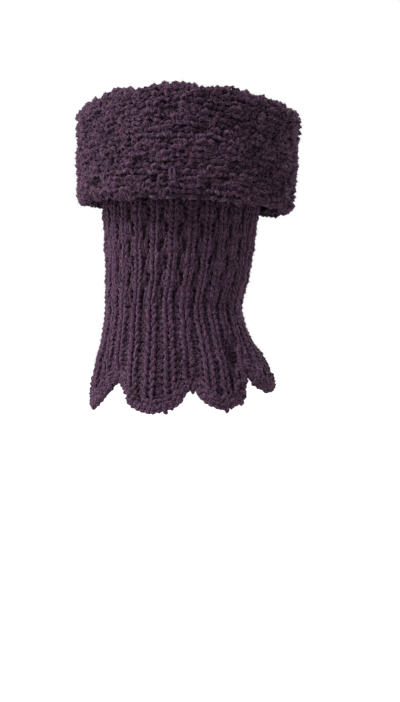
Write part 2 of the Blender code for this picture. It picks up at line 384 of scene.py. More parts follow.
class LegForm:
    """The leg's outer face as the frame has it. A column, a rise and a depth give a place on it."""

    ROUND = float(len(SCALLOPS))
    COLUMNS = 180
    ROW_STEP = 0.0015
    OUTSIDE = 0.2
    SLOPE_ROWS = 4
    SOFTENING = 3

    def __init__(self, *nodes):
        points, faces = [], []
        for node in nodes:
            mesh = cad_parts[node].data
            faces += [[index + len(points) for index in face.vertices] for face in mesh.polygons]
            points += [vertex.co.copy() for vertex in mesh.vertices]
        self.tree = BVHTree.FromPolygons(points, faces)
        heights = [point.z for point in points]
        self.lowest = min(heights) - EDGING_HEIGHT * 2.0
        self.rows = int((max(heights) - self.lowest) / self.ROW_STEP) + 1
        self.heights = self.lowest + self.ROW_STEP * np.arange(self.rows)
        self.sample()

    def reach(self, height, middle, along_x, along_y):
        """How far out the face is from a middle line, as a share of the direction given."""
        direction = Vector((along_x, along_y, 0.0))
        start = Vector((middle, 0.0, height)) + direction.normalized() * self.OUTSIDE
        hit = self.tree.ray_cast(start, -direction, self.OUTSIDE)[0]
        if hit is None:
            return np.nan
        return (hit.xy - Vector((middle, 0.0))).length / direction.length

    def reaches(self, middle, along_x, along_y):
        """The reach at every height. At the ends, where the face is missed, its slope runs on."""
        places = np.broadcast_arrays(self.heights, middle, along_x, along_y)
        values = np.array([self.reach(*place) for place in zip(*places)])
        known = np.flatnonzero(~np.isnan(values))
        ends = (known[0], known[self.SLOPE_ROWS]), (known[-1], known[-1 - self.SLOPE_ROWS])
        for end, inner in ends:
            slope = (values[end] - values[inner]) / (end - inner)
            missed = np.arange(0, end) if end < inner else np.arange(end + 1, len(values))
            values[missed] = values[end] + slope * (missed - end)
        return values

    def sample(self):
        """Reads the face and its normals into tables, a row for each height."""
        right = self.reaches(0.0, 1.0, 0.0)
        left = self.reaches(0.0, -1.0, 0.0)
        middle = (right - left) / 2.0
        half_x = (right + left) / 2.0
        half_y = self.reaches(middle, 0.0, -1.0)
        self.face = np.zeros((self.rows, self.COLUMNS, 3))
        for column, turn in enumerate(TAU * np.arange(self.COLUMNS) / self.COLUMNS):
            along_x, along_y = half_x * math.sin(turn), -half_y * math.cos(turn)
            shares = self.reaches(middle, along_x, along_y)
            self.face[:, column, 0] = middle + along_x * shares
            self.face[:, column, 1] = along_y * shares
        self.face[:, :, 2] = self.heights[:, None]
        round_leg = np.roll(self.face, -2, axis=1) - np.roll(self.face, 2, axis=1)
        normals = unit(np.cross(round_leg, np.gradient(self.face, axis=0)))
        for _ in range(self.SOFTENING):
            normals = unit(np.roll(normals, 1, axis=1) + normals + np.roll(normals, -1, axis=1))
        self.normals = normals

    def read(self, table, turn, height):
        column = (turn / TAU * self.COLUMNS) % self.COLUMNS
        row = np.clip((height - self.lowest) / self.ROW_STEP, 0.0, self.rows - 1.001)
        left, low = column.astype(int) % self.COLUMNS, row.astype(int)
        right = (left + 1) % self.COLUMNS
        x, z = (column - np.floor(column))[..., None], (row - low)[..., None]
        below = table[low, left] * (1.0 - x) + table[low, right] * x
        above = table[low + 1, left] * (1.0 - x) + table[low + 1, right] * x
        return below * (1.0 - z) + above * z

    def creased(self, turn, height, across):
        """How far the creases and the cheeks beside each notch move the cloth outwards."""
        moved = 0.0
        for crease in CREASES:
            away = (turn - math.radians(crease.angle) + math.pi) % TAU - math.pi
            away = np.degrees(away) / crease.width
            ends = smoothstep((height - crease.bottom) / CREASE_BOTTOM_FADE)
            ends = ends * smoothstep((crease.top - height) / CREASE_TOP_FADE)
            moved = moved - crease.depth * np.exp(-away * away) * ends
        cheek = np.exp(-(((np.abs(across) - CHEEK_PLACE) / CHEEK_WIDTH) ** 2))
        cheek = cheek * smoothstep((CHEEK_TOP - height) / CHEEK_FADE)
        return moved + CHEEK_FULLNESS * cheek

    def place(self, column, rise, depth):
        """A place in the leg's knitting, whose columns and courses bend to meet the hem."""
        lean_height = COLUMNS_LEAN_FROM - COLUMNS_LEAN_TO
        turn = column_turn(column, smoothstep((COLUMNS_LEAN_FROM - rise) / lean_height))
        edge, across = hem_edge(turn)
        bend_height = COURSES_BEND_FROM - FIRST_COURSE
        drop = np.clip((COURSES_BEND_FROM - rise) / bend_height, 0.0, 1.0)
        height = rise + (edge + EDGING_HEIGHT - FIRST_COURSE) * drop
        outwards = depth + self.creased(turn, height, across)
        points = self.read(self.face, turn, height)
        points[..., 2] += height - np.clip(height, self.heights[0], self.heights[-1])
        return points + self.read(self.normals, turn, height) * outwards[..., None]


def leg_form():
    return LegForm("ribbed_ankle", "patterned_leg")


class TurnoverForm:
    """The middle of the turnover's wall: up the face from its lower edge, over, and down inside."""

    ROUND = TAU
    ARC_STEPS = 12
    # The lower edge rolls under: its round's radius, the height of its lowest point, how far it
    # is set back from the face, and where it ends behind.
    ROLL_RADIUS = 0.0022
    ROLL_FOOT = 0.0030
    ROLL_STRAIGHT = 0.0005
    ROLL_SET_BACK = 0.0012
    ROLL_END = 0.0080
    # How far the face is drawn in at two heights above the edge.
    FACE_SET_BACKS = ((0.0008, 0.0180), (0.0003, 0.0340))
    FOLD_SET_BACK = 0.0022
    FOLD_RISE = 0.0018
    FOLD_INNER_RADIUS = 0.0030

    def __init__(self, sizes):
        self.half_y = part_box("turnover_fold")[1].y - sizes.fold_outset
        self.half_x = sizes.turnover_half_width
        self.tilt = sizes.turnover_tilt
        self.foot = np.array((sizes.turnover_foot_x, 0.0, sizes.turnover_foot_height))
        self.shin_dip = sizes.shin_dip
        self.calf_dip = sizes.calf_dip
        self.height = sizes.turnover_height
        line = self.outline(sizes)
        steps = np.linalg.norm(np.diff(line, axis=0), axis=1)
        self.runs = np.concatenate(([0.0], np.cumsum(steps)))
        self.outsets, self.heights = line[:, 0], line[:, 1]
        along = np.gradient(line, axis=0)
        self.normals = unit(np.stack((along[:, 1], -along[:, 0]), axis=1))
        self.length = self.runs[-1]

    def arc(self, outset, height, radius, quarter, quarters):
        """Points round a centre, from one quarter turn on. Straight outwards is quarter 0."""
        turns = 0.5 * math.pi * (quarter + quarters * np.arange(self.ARC_STEPS + 1) / self.ARC_STEPS)
        return [(outset + radius * math.cos(t), height + radius * math.sin(t)) for t in turns]

    def outline(self, sizes):
        """The wall's middle line in section, as (how far out, height above the lower edge)."""
        half_wall = sizes.turnover_wall / 2.0
        face = sizes.fold_outset - half_wall
        edge = face - self.ROLL_SET_BACK
        roll = self.ROLL_RADIUS
        behind = edge - 2.0 * roll
        fold = sizes.fold_outset - sizes.turnover_wall - self.FOLD_SET_BACK
        top = sizes.turnover_height - half_wall + self.FOLD_RISE
        inner = self.FOLD_INNER_RADIUS
        line = [(behind, self.ROLL_END), (behind, self.ROLL_FOOT + self.ROLL_STRAIGHT + roll)]
        line += self.arc(edge - roll, self.ROLL_FOOT + roll, roll, 2, 2)[1:]
        line += [(face - set_back, height) for set_back, height in self.FACE_SET_BACKS]
        line += self.arc(fold, top - (face - fold), face - fold, 0, 1)
        line += self.arc(fold, top - inner, inner, 1, 1)[1:]
        line.append((fold - inner, sizes.seam_height))
        return np.array(line)

    def place(self, turn, run, depth):
        outset = np.interp(run, self.runs, self.outsets)
        height = np.interp(run, self.runs, self.heights)
        outset = outset + depth * np.interp(run, self.runs, self.normals[:, 0])
        height = height + depth * np.interp(run, self.runs, self.normals[:, 1])
        height = height + np.minimum(run, 0.0) - np.maximum(run - self.length, 0.0)
        x = (self.half_x + outset) * np.sin(turn)
        y = -(self.half_y + outset) * np.cos(turn)
        dip = np.where(np.sin(turn) < 0.0, self.shin_dip, self.calf_dip)
        z = height - dip * height / self.height * np.sin(turn) ** 2
        cosine, sine = math.cos(self.tilt), math.sin(self.tilt)
        points = np.stack((x * cosine + z * sine, y, z * cosine - x * sine), axis=-1)
        return points + self.foot


class EdgeForm:
    """The scalloped edge: a share of the way round, how far up from the edge, and a depth."""

    ROUND = 1.0
    SAMPLES = 2400
    SOFTENING = 12
    SOFTENING_REACH = 6
    OUT_STEP = 0.001

    def __init__(self, leg):
        columns = leg.ROUND * np.arange(self.SAMPLES + 1) / self.SAMPLES
        steps = np.linalg.norm(np.diff(self.edge(leg, columns, 0.0), axis=0), axis=1)
        runs = np.concatenate(([0.0], np.cumsum(steps)))
        columns = np.interp(np.linspace(0.0, runs[-1], self.SAMPLES, endpoint=False), runs, columns)
        self.line = self.edge(leg, columns, 0.0)
        self.out = unit(self.edge(leg, columns, self.OUT_STEP) - self.line)
        along = unit(np.roll(self.line, -1, axis=0) - np.roll(self.line, 1, axis=0))
        up = unit(np.cross(self.out, along))
        reach = self.SOFTENING_REACH
        for _ in range(self.SOFTENING):
            up = unit(np.roll(up, reach, axis=0) + up + np.roll(up, -reach, axis=0))
        self.up = up

    @staticmethod
    def edge(leg, columns, depth):
        low = np.full_like(columns, FIRST_COURSE - EDGING_HEIGHT)
        return leg.place(columns, low, np.full_like(columns, depth))

    def read(self, table, share):
        column = (share * self.SAMPLES) % self.SAMPLES
        left = column.astype(int) % self.SAMPLES
        part = (column - np.floor(column))[..., None]
        return table[left] * (1.0 - part) + table[(left + 1) % self.SAMPLES] * part

    def place(self, share, rise, depth):
        up = self.read(self.up, share) * rise[..., None]
        return self.read(self.line, share) + up + self.read(self.out, share) * depth[..., None]


# ---------------------------------------------------------------- the stitches


class Swatch:
    """A stretch of knitting. Each table has a row for each course and a value for each stitch.

    A stitch's side is 1 where it is knitted and -1 where it is purled. Its pit is how far back the
    yarn is drawn where it joins the stitch before.
    """

    def __init__(self, left, width, rise, loop_height):
        self.left, self.width, self.rise = np.broadcast_arrays(left, width, rise)
        self.loop_height = loop_height
        self.side = np.ones(self.left.shape)
        self.relief = np.zeros(self.left.shape)
        self.lean = np.zeros(self.left.shape)
        self.size = np.ones(self.left.shape)
        self.pit = np.zeros(self.left.shape)


def eased(values, share):
    """Each stitch's own value over its middle, eased to its neighbours' at the two joins."""
    start = (1.0 - smoothstep(share / STITCH_JOIN)) / 2.0
    end = (1.0 - smoothstep((1.0 - share) / STITCH_JOIN)) / 2.0
    before, after = np.roll(values, 1, axis=1), np.roll(values, -1, axis=1)
    from_before = values[..., None] + (before - values)[..., None] * start
    return from_before + (after - values)[..., None] * end


def hills(turn, rows, rng):
    """Slow swells and hollows over the knitting, closed round it."""
    height = 0.0
    for waves in HILL_WAVES:
        slope, start = rng.normal(scale=HILL_SLOPE), rng.uniform(0.0, TAU)
        height = height + np.sin(waves * turn + slope * rows + start) * HILL_HEIGHT
    return height


def yarn_paths(swatch, form, yarn, rng):
    """Every course as a closed ring of points, with how far forward and how thick each one is."""
    share = np.arange(yarn.points) / yarn.points
    courses, stitches = swatch.left.shape
    loose = yarn.unevenness * np.sin(math.pi * share) ** 2
    slip, stretch, lift, push, slub = rng.normal(size=(5, courses, stitches, 1)) * loose
    across = share + LOOP_BOW * np.sin(2.0 * TAU * share) + SLIP_SHARE * slip
    turn = swatch.left[..., None] + swatch.width[..., None] * across
    turn = turn + swatch.lean[..., None] * np.sin(math.pi * share)
    loop = swatch.loop_height * (1.0 + STRETCH_SHARE * stretch)
    rise = swatch.rise[..., None] - loop * np.cos(TAU * share) + yarn.radius * lift
    rows = np.arange(courses)[:, None, None]
    depth = -eased(swatch.side, share) * yarn.loop_depth * np.cos(2.0 * TAU * share)
    depth = depth + eased(swatch.relief, share) - yarn.inset + yarn.radius * push
    depth = depth + yarn.sway * hills(turn * TAU / form.ROUND, rows, rng)
    depth = depth - swatch.pit[..., None] * np.exp(-((share / PIT_REACH) ** 2))
    next_pit = np.roll(swatch.pit, -1, axis=1)[..., None]
    depth = depth - next_pit * np.exp(-(((1.0 - share) / PIT_REACH) ** 2))
    radius = yarn.radius * eased(swatch.size, share) * (1.0 + SLUB_SHARE * slub)
    turn, rise, depth, radius = (v.reshape(courses, -1) for v in (turn, rise, depth, radius))
    return form.place(turn, rise, depth), depth, radius


def rib_swatch(first, last, knit_share):
    """Courses of knit one, purl one, with a knit column over every notch of the hem."""
    rib, purl = np.divmod(np.arange(2 * RIBS), 2)
    left = (rib + np.where(purl, knit_share / 2.0, -knit_share / 2.0)) / RIBS_PER_SCALLOP
    width = np.where(purl, 1.0 - knit_share, knit_share) / RIBS_PER_SCALLOP
    rise = FIRST_COURSE + COURSE_RISE * np.arange(first, last)[:, None]
    swatch = Swatch(left, width, rise, LOOP_HEIGHT)
    swatch.side = np.where(purl, -swatch.side, swatch.side)
    swatch.relief = swatch.relief + np.where(purl, PURL_RELIEF, KNIT_RELIEF)
    return swatch


def fanned_swatch(first, last):
    """Knit columns with fans. The stitches beside a column lean to it, and then away from it.

    A column that is between its fans stands alone, with a pit on each side of it.
    """
    swatch = rib_swatch(first, last, FANNED_KNIT_SHARE)
    rib, between = np.divmod(np.arange(2 * RIBS), 2)
    fan, step = np.divmod(np.arange(last - first)[:, None], len(FAN_LEANS))
    fanned = (rib + fan) % 2 == 0
    lean = np.array(FAN_LEANS)[step] / RIBS_PER_SCALLOP
    swatch.lean = np.where(between, np.where(fanned, -lean, lean), 0.0)
    relief = np.array(FAN_RELIEFS)[step]
    column_relief = np.where(fanned, relief + FANNED_COLUMN_RELIEF, LONE_COLUMN_RELIEF)
    swatch.relief = np.where(between, relief, column_relief)
    swatch.pit = np.where(fanned, 0.0, FAN_PIT)
    swatch.side = np.ones(fanned.shape)
    return swatch


def basket_swatch(first, last, seed):
    """Blocks of knit and purl, a few stitches wide and as many courses deep, like wickerwork."""
    rng = np.random.default_rng(seed)
    shape = (last - first, TURNOVER_STITCHES)
    course, stitch = np.indices(shape)
    course = course + first
    pitch = TAU / TURNOVER_STITCHES
    rise = TURNOVER_FIRST_COURSE + course * TURNOVER_COURSE_RISE
    swatch = Swatch(stitch * pitch, pitch, rise, LOOP_HEIGHT)
    block = (stitch // BLOCK_STITCHES, course // BLOCK_COURSES)
    purl = (block[0] + block[1]) % 2
    blocks = rng.normal(scale=BLOCK_SPREAD, size=(block[0].max() + 1, block[1].max() + 1))
    turned = np.where(rng.random(shape) < TURNED_STITCHES, 1.0, -1.0)
    swatch.side = turned * np.where(purl, 1.0, BLOCK_KNIT_SIDE)
    relief = np.where(purl, BLOCK_PURL_RELIEF, BLOCK_KNIT_RELIEF) + blocks[block]
    relief = relief + rng.normal(scale=STITCH_SPREAD, size=shape)
    knots = rng.normal(scale=KNOT_SPREAD, size=(TURNOVER_STITCHES // KNOT_STITCHES, last))
    swatch.relief = np.clip(relief + knots[stitch // KNOT_STITCHES, course], *RELIEF_LIMITS)
    swatch.lean = rng.normal(scale=LEAN_SPREAD, size=shape) * pitch
    swatch.rise = swatch.rise + rng.normal(scale=RISE_SPREAD, size=shape)
    swatch.size = 1.0 + rng.normal(scale=SIZE_SPREAD, size=shape)
    return swatch


def edging_swatch():
    """Two garter ridges along the edge."""
    pitch = 1.0 / EDGING_STITCHES
    left = np.arange(EDGING_STITCHES) * pitch
    swatch = Swatch(left, pitch, np.array(GARTER_RISES)[:, None], EDGING_LOOP_HEIGHT)
    swatch.side = -swatch.side
    swatch.relief = swatch.relief + EDGING_RELIEF
    return swatch


def picot_paths(form, rng):
    """Yarn coiled over the edge, some coils larger than the rest, so that the edge is knobbly."""
    share = np.arange(PICOT_COILS * PICOT_POINTS) / PICOT_POINTS
    coil = np.floor(share).astype(int)
    sizes = np.where(rng.random(PICOT_COILS) < LARGE_PICOT_SHARE, LARGE_PICOT, SMALL_PICOT)
    sizes = sizes * (1.0 + PICOT_SIZE_SPREAD * rng.normal(size=PICOT_COILS))
    size = (sizes[coil] + sizes[(coil + (share % 1.0 > 0.5)) % PICOT_COILS]) / 2.0
    nudge = PICOT_NUDGE * rng.normal(size=PICOT_COILS)[coil] * np.sin(TAU * share)
    rise = PICOT_RISE - size * np.cos(TAU * share)
    depth = PICOT_DEPTH + PICOT_SWING * np.sin(TAU * share)
    return form.place(((share + nudge) / PICOT_COILS)[None], rise[None], depth[None])


# ---------------------------------------------------------------- meshes


def face_mesh(name, points, faces, loop_uvs, nap):
    """A mesh of faces that all have the same number of corners."""
    mesh = bpy.data.meshes.new(name)
    mesh.vertices.add(len(points))
    mesh.vertices.foreach_set("co", points.astype(np.float32).ravel())
    mesh.loops.add(faces.size)
    mesh.loops.foreach_set("vertex_index", faces.astype(np.int32).ravel())
    mesh.polygons.add(len(faces))
    starts = np.arange(0, faces.size, faces.shape[1], dtype=np.int32)
    mesh.polygons.foreach_set("loop_start", starts)
    mesh.update(calc_edges=True)
    layer = mesh.uv_layers.new(name="OFBake")
    layer.data.foreach_set("uv", loop_uvs.astype(np.float32).ravel())
    # Each point's painted light: 0 on deep yarn, painted darkest as shade, and 1 where left as it is.
    depth = mesh.attributes.new("nap", "FLOAT", "POINT")
    depth.data.foreach_set("value", nap.astype(np.float32).ravel())
    mesh.shade_smooth()
    if mesh.validate():
        raise RuntimeError(f"{name}: the mesh had faults")
    return mesh


def wrapped_grids(grids, rows, columns):
    """The quads and UVs of grids of points that each close on themselves both ways."""
    grid, row, column = np.indices((grids, rows, columns))
    quads, uvs = [], []
    for up, along in ((0, 0), (0, 1), (1, 1), (1, 0)):
        quads.append((grid * rows + (row + up) % rows) * columns + (column + along) % columns)
        uvs.append(np.stack(((row + up) / rows, (grid + (column + along) / columns) / grids), axis=-1))
    return np.stack(quads, axis=-1).reshape(-1, 4), np.stack(uvs, axis=-2).reshape(-1, 2)


def carried_sides(tangents):
    """A side direction for every point of every ring, carried along it with no twist left over."""
    rings, count, _ = tangents.shape
    sides = np.empty_like(tangents)
    guess = np.tile(np.array((0.0, 0.0, 1.0)), (rings, 1))
    guess[np.abs(tangents[:, 0, 2]) > STEEP] = (1.0, 0.0, 0.0)
    sides[:, 0] = unit(guess - tangents[:, 0] * dot(guess, tangents[:, 0]))
    for step in range(1, count):
        side, tangent = sides[:, step - 1], tangents[:, step]
        sides[:, step] = unit(side - tangent * dot(side, tangent))
    tangent = tangents[:, 0]
    last = unit(sides[:, -1] - tangent * dot(sides[:, -1], tangent))
    left_over = np.arctan2(dot(np.cross(last, sides[:, 0]), tangent), dot(last, sides[:, 0]))
    return sides, left_over * (np.arange(count) / count)


def tube_mesh(name, paths, radii, nap, around, lumps):
    """Closed rings of yarn, each swept with a round section that is lumpy, as spun wool is."""
    rings, count, _ = paths.shape
    tangents = unit(np.roll(paths, -1, axis=1) - np.roll(paths, 1, axis=1))
    sides, spin = carried_sides(tangents)
    ups = np.cross(tangents, sides)
    angles = (TAU * np.arange(around) / around + spin[..., None])[..., None]
    section = np.cos(angles) * sides[:, :, None] + np.sin(angles) * ups[:, :, None]
    swell = 1.0 + lumps * np.random.default_rng(count).normal(size=section.shape[:3])
    points = paths[:, :, None] + section * (radii[:, :, None] * swell)[..., None]
    quads, uvs = wrapped_grids(rings, count, around)
    return face_mesh(name, points.reshape(-1, 3), quads, uvs, np.repeat(nap.ravel(), around))


def shell_mesh(name, outer, inner, nap):
    """A thin closed shell between two grids of points, each closed round its second axis."""
    grid = np.concatenate((outer, inner[::-1]))
    quads, uvs = wrapped_grids(1, *grid.shape[:2])
    return face_mesh(name, grid.reshape(-1, 3), quads, uvs[:, ::-1], np.full(grid.shape[:2], nap))


def fuzz_mesh(name, roots, outwards, longest, rng):
    """Loose hairs that stand out of the yarn, each one a thin closed spike on three sides."""
    count = len(roots)
    lean = unit(outwards + HAIR_LEAN * rng.normal(size=(count, 3)))
    too_flat = np.clip(HAIR_LEAST_RISE - dot(lean, outwards), 0.0, None)
    lean = unit(lean + 2.0 * too_flat * outwards)
    side = unit(np.cross(lean, rng.normal(size=(count, 3))))
    other = np.cross(lean, side)
    corners = [roots + lean * rng.uniform(SHORTEST_HAIR, longest, size=(count, 1))]
    for turn in TAU * np.arange(3) / 3:
        corners.append(roots + HAIR_RADIUS * (math.cos(turn) * side + math.sin(turn) * other))
    points = np.stack(corners, axis=1).reshape(-1, 3)
    spike = np.array(((0, 1, 2), (0, 2, 3), (0, 3, 1), (1, 3, 2)))
    faces = (4 * np.arange(count)[:, None, None] + spike).reshape(-1, 3)
    # Each hair's faces take up a narrow upright strip of the UV square.
    strip = np.array(((0.0, 0.9), (0.0, 0.1), (0.3 / count, 0.1)))
    uvs = np.zeros((count, 4, 3, 2)) + strip
    uvs[..., 0] += (np.arange(count) / count)[:, None, None]
    return face_mesh(name, points, faces, uvs.reshape(-1, 2), np.ones(4 * count))


# ---------------------------------------------------------------- materials


class Wire:
    """A shader socket that arithmetic can be written with. Each operator adds a Math node."""

    def __init__(self, tree, socket=None):
        self.tree = tree
        self.socket = socket

    def node(self, kind, settings=None, sockets=None, output=0):
        """Adds a node: its settings first, then the values or links of its sockets."""
        made = self.tree.nodes.new(kind)
        for key, value in (settings or {}).items():
            setattr(made, key, value)
        for key, value in (sockets or {}).items():
            if isinstance(value, Wire):
                self.tree.links.new(value.socket, made.inputs[key])
            else:
                made.inputs[key].default_value = value
        return Wire(self.tree, made.outputs[output])

    def into(self, node, key):
        """Links this to a node that is there already, such as the shader."""
        self.tree.links.new(self.socket, node.inputs[key])

    def maths(self, operation, first, second=0.0):
        return self.node("ShaderNodeMath", {"operation": operation}, {0: first, 1: second})

    def __add__(self, other):
        return self.maths("ADD", self, other)

    def __radd__(self, other):
        return self.maths("ADD", other, self)

    def __rsub__(self, other):
        return self.maths("SUBTRACT", other, self)

    def __mul__(self, other):
        return self.maths("MULTIPLY", self, other)

    def __rmul__(self, other):
        return self.maths("MULTIPLY", other, self)

    def __pow__(self, other):
        return self.maths("POWER", self, other)

    def sine(self):
        return self.maths("SINE", self)

    def eased(self, low, high):
        """0 below the low value and 1 above the high one, with a soft step between them."""
        settings = {"interpolation_type": "SMOOTHSTEP"}
        return self.node("ShaderNodeMapRange", settings, {0: self, 1: low, 2: high})

    def between(self, first, second):
        """The first colour where this is 0, going over to the second where it is 1."""
        settings = {"data_type": "RGBA"}
        return self.node("ShaderNodeMix", settings, {0: self, 6: first, 7: second}, 2)

    def scaled(self, share):
        """This colour times a number."""
        return self.node("ShaderNodeVectorMath", {"operation": "SCALE"}, {0: self, 3: share})

    def noise(self, features, detail):
        """Noise in the object's own space, with a number of features in each metre."""
        place = self.node("ShaderNodeTexCoord", output="Object")
        sockets = {"Vector": place, "Scale": features, "Detail": detail}
        return self.node("ShaderNodeTexNoise", {}, sockets | {"Roughness": NOISE_ROUGHNESS})

    def dyed(self, mottling, colour, dye):
        """The colour, with some of a dye where the mottling's noise is high."""
        noise = self.noise(mottling.features, mottling.detail)
        mask = noise.eased(mottling.low, mottling.high) * mottling.share
        return mask.between(colour, (*dye, 1.0))


def blank_material(name):
    """A new material, its shader and a wire that starts its nodes."""
    material = bpy.data.materials.new(name)
    material.use_nodes = True
    return material, material.node_tree.nodes["Principled BSDF"], Wire(material.node_tree)


def set_sockets(node, values):
    for key, value in values.items():
        node.inputs[key].default_value = value


def heather_wool(name, colours, twists, courses, shade=PLAIN_PAINTED_SHADE):
    """Plum heather wool: mottled plies, paler and redder hairs, and shade painted between plies."""
    material, shader, start = blank_material(name)
    tufts = start.noise(*TUFTS)
    nap = start.node("ShaderNodeAttribute", {"attribute_name": "nap"}, output="Fac")

    uv = start.node("ShaderNodeUVMap", {"uv_map": "OFBake"})
    along = start.node("ShaderNodeSeparateXYZ", {}, {0: uv}, "X")
    rounds = start.node("ShaderNodeSeparateXYZ", {}, {0: uv}, "Y")
    ply = (along * (TAU * twists) + rounds * (TAU * PLIES * courses)).sine() * 0.5 + 0.5

    in_tufts = 1.0 - tufts.eased(*TUFT_EDGES)
    mottled = in_tufts.between((*colours.plum, 1.0), (*colours.deep, 1.0))
    mottled = start.dyed(ROSE_SPECKS, mottled, colours.rose)
    mottled = start.dyed(PALE_HAIRS, mottled, colours.pale)
    mottled = start.dyed(RUSSET_PATCHES, mottled, colours.russet)
    # Painted shade: the colour is darkened down between the plies, and on yarn that lies deep.
    light = (PLY_PAINTED_SHADE + PLY_PAINTED_LIGHT * ply.eased(*PLY_EDGES)) * (shade + (1.0 - shade) * nap)
    mottled.scaled(light).into(shader, "Base Color")
    (WOOL_ROUGHNESS + TUFT_ROUGHNESS * tufts).into(shader, "Roughness")
    surface = ply ** PLY_ROUNDNESS * PLY_RELIEF + tufts * TUFT_RELIEF
    surface = surface + start.noise(*FIBRES) * FIBRE_RELIEF
    sockets = {"Strength": BUMP_STRENGTH, "Distance": BUMP_DEPTH, "Height": surface}
    start.node("ShaderNodeBump", {}, sockets).into(shader, "Normal")
    set_sockets(shader, {
        "Specular IOR Level": 0.12, "Sheen Weight": 0.16, "Sheen Roughness": 0.45,
        "Sheen Tint": (0.62, 0.38, 0.57, 1.0),
    })
    return material


def loose_hair(name, colours):
    """The fuzz: fine pale hairs, some of them rose."""
    material, shader, start = blank_material(name)
    tint = start.dyed(PALE_FUZZ, (*colours.rose, 1.0), colours.pale)
    tint.into(shader, "Base Color")
    set_sockets(shader, {"Roughness": 0.6, "Specular IOR Level": 0.25})
    return material


def white_paper(name):
    """Pale paper that glows where it is seen, so that it runs into the backdrop with no edge."""
    material, shader, start = blank_material(name)
    set_sockets(shader, {
        "Base Color": (0.55, 0.55, 0.55, 1.0), "Roughness": 0.9, "Emission Strength": 1.0,
    })
    seen = start.node("ShaderNodeLightPath", output="Is Camera Ray")
    glow = start.node("ShaderNodeCombineColor", {}, {0: seen, 1: seen, 2: seen})
    glow.into(shader, "Emission Color")
    return material


def white_studio(name):
    """A white backdrop all round, which lights the cuff less than it shows."""
    world = bpy.data.worlds.new(name)
    world.use_nodes = True
    backdrop = world.node_tree.nodes["Background"]
    set_sockets(backdrop, {"Color": (1.0, 1.0, 1.0, 1.0)})
    seen = Wire(world.node_tree).node("ShaderNodeLightPath", output="Is Camera Ray")
    (BACKDROP_LIGHT + (1.0 - BACKDROP_LIGHT) * seen).into(backdrop, "Strength")
    return world


# ---------------------------------------------------------------- sizes and colours


def length(name, description, default):
    return bpy.props.FloatProperty(
        name=name, description=description, default=default, subtype="DISTANCE", unit="LENGTH",
        precision=4,
    )


def colour(name, description, default):
    return bpy.props.FloatVectorProperty(
        name=name, description=description, default=default, size=3, min=0.0, max=1.0,
        subtype="COLOR",
    )


class CuffSizes(bpy.types.PropertyGroup):
    """The turnover's sizes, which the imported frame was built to."""

    turnover_half_width: length("Half width", "From the middle to the shin and calf", 0.0698)
    turnover_height: length("Height", "From the lower edge to the top of the fold", 0.0702)
    turnover_wall: length("Wall", "How thick the turnover's knitting is", 0.0070)
    turnover_foot_x: length("Foot offset", "The middle of the lower edge, towards the calf", 0.0074)
    turnover_foot_height: length("Foot height", "The height of the lower edge", 0.0611)
    shin_dip: length("Shin dip", "How far the fold dips over the shin", 0.0085)
    calf_dip: length("Calf dip", "How far the fold dips over the calf", 0.0060)
    turnover_tilt: bpy.props.FloatProperty(
        name="Tilt", description="How far the turnover leans towards the calf",
        default=math.radians(2.6), subtype="ANGLE", unit="ROTATION",
    )
    fold_outset: length("Fold outset", "How far the top stands out past the face", 0.0010)
    seam_height: length("Seam height", "Where the fold meets the leg inside", 0.0580)


class CuffWool(bpy.types.PropertyGroup):
    """The yarn's thickness and colours, and its loose hairs."""

    thickness: bpy.props.FloatProperty(
        name="Thickness", description="How thick the yarn is, as a share of its usual thickness",
        default=1.0, min=0.5, max=1.3,
    )
    hairs: bpy.props.IntProperty(
        name="Loose hairs", description="How many loose hairs stand out of the wool",
        default=42000, min=1, max=45000,
    )
    longest_hair: length("Longest hair", "How long the longest loose hairs are", 0.0026)
    plum: colour("Plum", "The yarn's main colour", (0.066, 0.030, 0.060))
    deep: colour("Deep plum", "The darkest tufts", (0.024, 0.009, 0.021))
    rose: colour("Rose", "The pinker tufts", (0.150, 0.068, 0.125))
    pale: colour("Mauve", "The palest hairs", (0.215, 0.132, 0.205))
    russet: colour("Russet", "The redder patches", (0.090, 0.030, 0.046))


# ---------------------------------------------------------------- placing the pieces


def finish_piece(mesh, material, nodes):
    piece = bpy.data.objects.new(mesh.name, mesh)
    bpy.context.scene.collection.objects.link(piece)
    mesh.materials.append(material)
    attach(piece, "root")
    if nodes:
        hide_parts(*nodes)
    return piece


def knit_piece(name, swatch, form, yarn, seed, wool_name, nodes, seen_from=1.0):
    """Knits a swatch on a form, with painted shade on yarn lying deep as seen from outside, or from
    inside where seen_from is -1.
    """
    wool = bpy.context.scene.cuff_wool
    yarn = yarn._replace(radius=yarn.radius * wool.thickness)
    paths, depth, radii = yarn_paths(swatch, form, yarn, np.random.default_rng(seed))
    # Painted shade: yarn that lies deeper, as seen from the side given, is painted darker.
    reach = yarn.loop_depth + PAINTED_LIGHT_REACH
    nap = np.clip(seen_from * (depth + yarn.inset) / (2.0 * reach) + 0.5, 0.0, 1.0)
    mesh = tube_mesh(name, paths, radii, nap, yarn.sides, yarn.lumps)
    material = heather_wool(wool_name, wool, yarn.twists, len(paths), yarn.shade)
    return finish_piece(mesh, material, nodes)


def web_piece(name, form, columns, rises, depth, nap):
    """A thin closed shell behind the loops, which closes the gaps between them."""
    outer = form.place(columns, rises, depth)
    inner = form.place(columns, rises, depth - WEB_THICKNESS)
    # The shell's colour is darkened by the painted shade that it is given.
    material = heather_wool(f"{name}_yarn", bpy.context.scene.cuff_wool, WEB_TWISTS, 1)
    return finish_piece(shell_mesh(name, outer, inner, nap), material, [])


